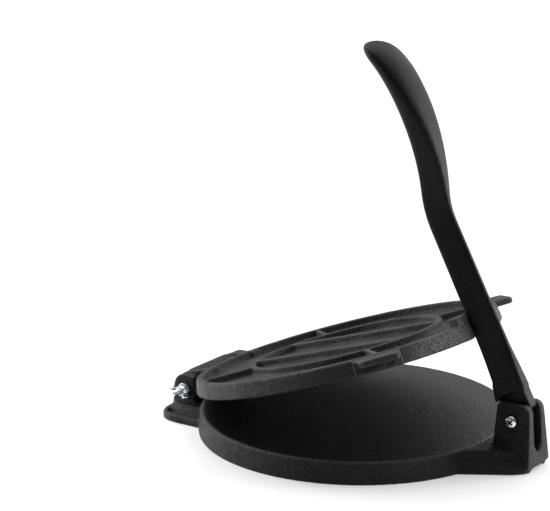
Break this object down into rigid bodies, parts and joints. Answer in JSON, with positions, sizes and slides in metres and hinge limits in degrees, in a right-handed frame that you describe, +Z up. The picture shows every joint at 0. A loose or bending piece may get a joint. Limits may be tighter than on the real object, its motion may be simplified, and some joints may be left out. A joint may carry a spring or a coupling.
{
  "type": "tortilla press",
  "caption": "Cast-iron tortilla press: round base, hinged round lid with ribs and finger tabs, and a long curved lever on a clevis.",
  "frame": {"origin": "centre of the base's round plate, on the table that it stands on", "axes": "+Z up, +X from the lid's hinge towards the lever, +Y along the hinge and lever bolts"},
  "size_m": [0.2589, 0.206, 0.2567],
  "materials": {
    "cast_iron": "seasoned black, fine sand-cast grain, soft sheen",
    "zinc": "bright zinc plate"
  },
  "bodies": {
    "base": {"base": "cast_iron", "hinge_bolt_near": "zinc", "hinge_bolt_far": "zinc", "hinge_washer_near": "zinc", "hinge_washer_far": "zinc", "hinge_wing_nut_near": "zinc", "hinge_wing_nut_far": "zinc", "lever_bolt": "zinc", "lever_washer": "zinc", "lever_wing_nut": "zinc"},
    "lid": {"lid": "cast_iron"},
    "lever": {"lever": "cast_iron"}
  },
  "joints": [
    {"name": "lid_hinge", "type": "hinge", "parent": "base", "child": "lid", "pos_m": [-0.1142, 0, 0.0154], "axis": [0, -1, 0], "range_deg": [-17.28, 87.48]},
    {"name": "lever_pivot", "type": "hinge", "parent": "base", "child": "lever", "pos_m": [0.1192, 0, 0.0315], "axis": [0, 1, 0], "range_deg": [-9.6, 48.6]}
  ],
  "couplings": [
    {"joint": "lever_pivot", "follows": "lid_hinge", "ratio": 0.5555}
  ]
}
